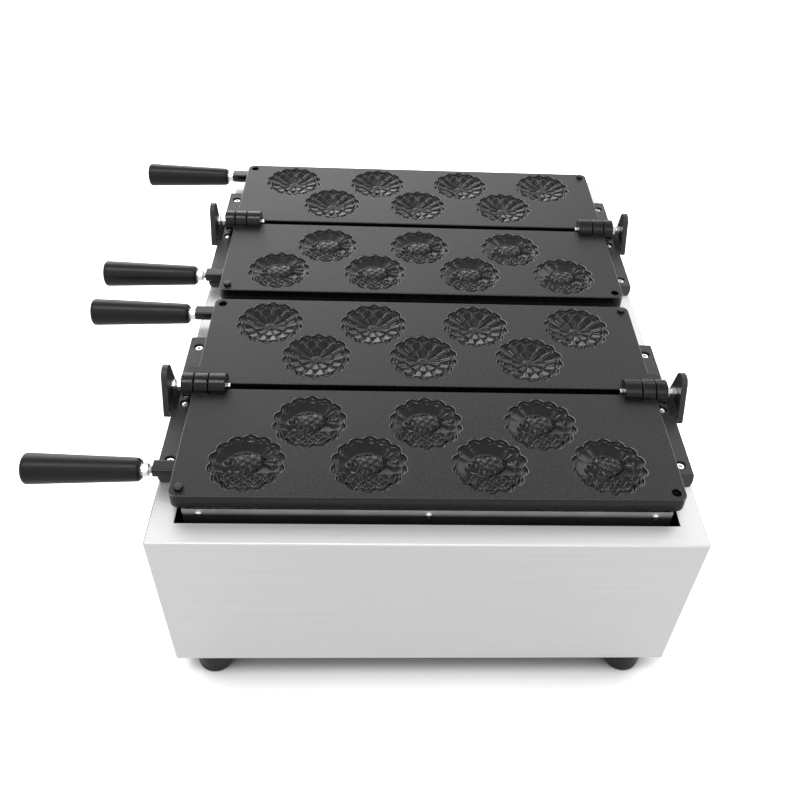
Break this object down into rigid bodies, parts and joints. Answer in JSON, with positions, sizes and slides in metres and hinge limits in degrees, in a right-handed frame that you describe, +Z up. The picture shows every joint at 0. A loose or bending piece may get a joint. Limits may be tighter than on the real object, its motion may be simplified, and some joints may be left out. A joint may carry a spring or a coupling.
{
  "type": "taiyaki maker",
  "caption": "Countertop taiyaki griddle: hinged cast plates with round pockets fold over each other like books, on a brushed steel heater housing with side handles.",
  "frame": {"origin": "centre of the bounding box at the surface that the feet stand on", "axes": "+Z up, +X along the plates away from the handles, +Y from the broad blank side of the housing towards the back"},
  "size_m": [0.7304, 0.765, 0.3133],
  "materials": {
    "brushed_stainless": "horizontally brushed stainless sheet",
    "plain_stainless": "mill-finish stainless sheet",
    "zinc_steel": "zinc-plated steel",
    "element_sheath": "heat-darkened steel sheath",
    "white_ceramic": "matte",
    "mineral_wool": "pressed mineral wool",
    "bright_screws": "bright zinc",
    "black_rubber": "matte",
    "black_casting": "black satin casting",
    "bright_steel": "bright zinc",
    "black_bakelite": "semi-gloss",
    "dark_pin": "dark steel",
    "copper_capillary": "copper",
    "black_knob": "satin",
    "cream_plastic": "matte",
    "black_plastic": "matte",
    "red_rocker": "gloss",
    "amber_lens": "translucent lens",
    "wire_insulation": "silicone insulation",
    "griddle_casting": "dark non-stick coated casting"
  },
  "bodies": {
    "housing": {"bottom_pan": "plain_stainless", "bracket_screws": "bright_screws", "cable_gland": "black_plastic", "control_panel": "brushed_stainless", "element_insulators": "white_ceramic", "element_supports": "zinc_steel", "foot_back_left": "black_rubber", "foot_back_right": "black_rubber", "foot_front_left": "black_rubber", "foot_front_right": "black_rubber", "foot_screws": "bright_screws", "heat_box_back_row": "plain_stainless", "heat_box_front_row": "plain_stainless", "heating_element_back_row_back": "element_sheath", "heating_element_back_row_front": "element_sheath", "heating_element_front_row_back": "element_sheath", "heating_element_front_row_front": "element_sheath", "hinge_bracket_back_row_left": "black_casting", "hinge_bracket_back_row_right": "black_casting", "hinge_bracket_front_row_left": "black_casting", "hinge_bracket_front_row_right": "black_casting", "hinge_pin_nuts": "bright_steel", "hinge_pins_back_row": "bright_steel", "hinge_pins_front_row": "bright_steel", "housing_shell": "brushed_stainless", "insulation_boards": "mineral_wool", "pan_head_screws": "bright_screws", "pilot_lamp_back_row": "amber_lens", "pilot_lamp_front_row": "amber_lens", "support_rails": "zinc_steel", "switch_body_back_row": "black_plastic", "switch_body_front_row": "black_plastic", "terminal_block": "cream_plastic", "thermostat_back_row": "cream_plastic", "thermostat_bulb_back_row": "copper_capillary", "thermostat_bulb_front_row": "copper_capillary", "thermostat_front_row": "cream_plastic", "wiring": "wire_insulation"},
    "front_row_front_plate": {"front_row_front_plate": "griddle_casting", "handle_front_row_front_plate": "black_bakelite", "handle_stud_front_row_front_plate": "bright_steel", "locating_pin_front_row_front_plate": "dark_pin"},
    "front_row_back_plate": {"front_row_back_plate": "griddle_casting", "handle_front_row_back_plate": "black_bakelite", "handle_stud_front_row_back_plate": "bright_steel", "locating_pin_front_row_back_plate": "dark_pin"},
    "back_row_front_plate": {"back_row_front_plate": "griddle_casting", "handle_back_row_front_plate": "black_bakelite", "handle_stud_back_row_front_plate": "bright_steel", "locating_pin_back_row_front_plate": "dark_pin"},
    "back_row_back_plate": {"back_row_back_plate": "griddle_casting", "handle_back_row_back_plate": "black_bakelite", "handle_stud_back_row_back_plate": "bright_steel", "locating_pin_back_row_back_plate": "dark_pin"},
    "knob_front_row": {"thermostat_knob_front_row": "black_knob", "thermostat_spindle_front_row": "bright_steel"},
    "rocker_front_row": {"switch_rocker_front_row": "red_rocker"},
    "knob_back_row": {"thermostat_knob_back_row": "black_knob", "thermostat_spindle_back_row": "bright_steel"},
    "rocker_back_row": {"switch_rocker_back_row": "red_rocker"}
  },
  "joints": [
    {"name": "front_row_front_plate_hinge", "type": "hinge", "parent": "housing", "child": "front_row_front_plate", "pos_m": [0.0628, -0.17685, 0.28635], "axis": [-1, 0, 0], "range_deg": [0, 180]},
    {"name": "front_row_back_plate_hinge", "type": "hinge", "parent": "housing", "child": "front_row_back_plate", "pos_m": [0.0628, -0.17685, 0.28635], "axis": [1, 0, 0], "range_deg": [0, 180]},
    {"name": "back_row_front_plate_hinge", "type": "hinge", "parent": "housing", "child": "back_row_front_plate", "pos_m": [0.0628, 0.17545, 0.28635], "axis": [-1, 0, 0], "range_deg": [0, 180]},
    {"name": "back_row_back_plate_hinge", "type": "hinge", "parent": "housing", "child": "back_row_back_plate", "pos_m": [0.0628, 0.17545, 0.28635], "axis": [1, 0, 0], "range_deg": [0, 180]},
    {"name": "knob_front_row_turn", "type": "hinge", "parent": "housing", "child": "knob_front_row", "pos_m": [-0.2312, -0.123, 0.132], "axis": [1, 0, 0], "range_deg": [0, 270]},
    {"name": "rocker_front_row_tilt", "type": "hinge", "parent": "housing", "child": "rocker_front_row", "pos_m": [-0.2272, -0.185, 0.132], "axis": [0, -1, 0], "range_deg": [0, 22]},
    {"name": "knob_back_row_turn", "type": "hinge", "parent": "housing", "child": "knob_back_row", "pos_m": [-0.2312, 0.107, 0.132], "axis": [1, 0, 0], "range_deg": [0, 270]},
    {"name": "rocker_back_row_tilt", "type": "hinge", "parent": "housing", "child": "rocker_back_row", "pos_m": [-0.2272, 0.169, 0.132], "axis": [0, -1, 0], "range_deg": [0, 22]}
  ]
}
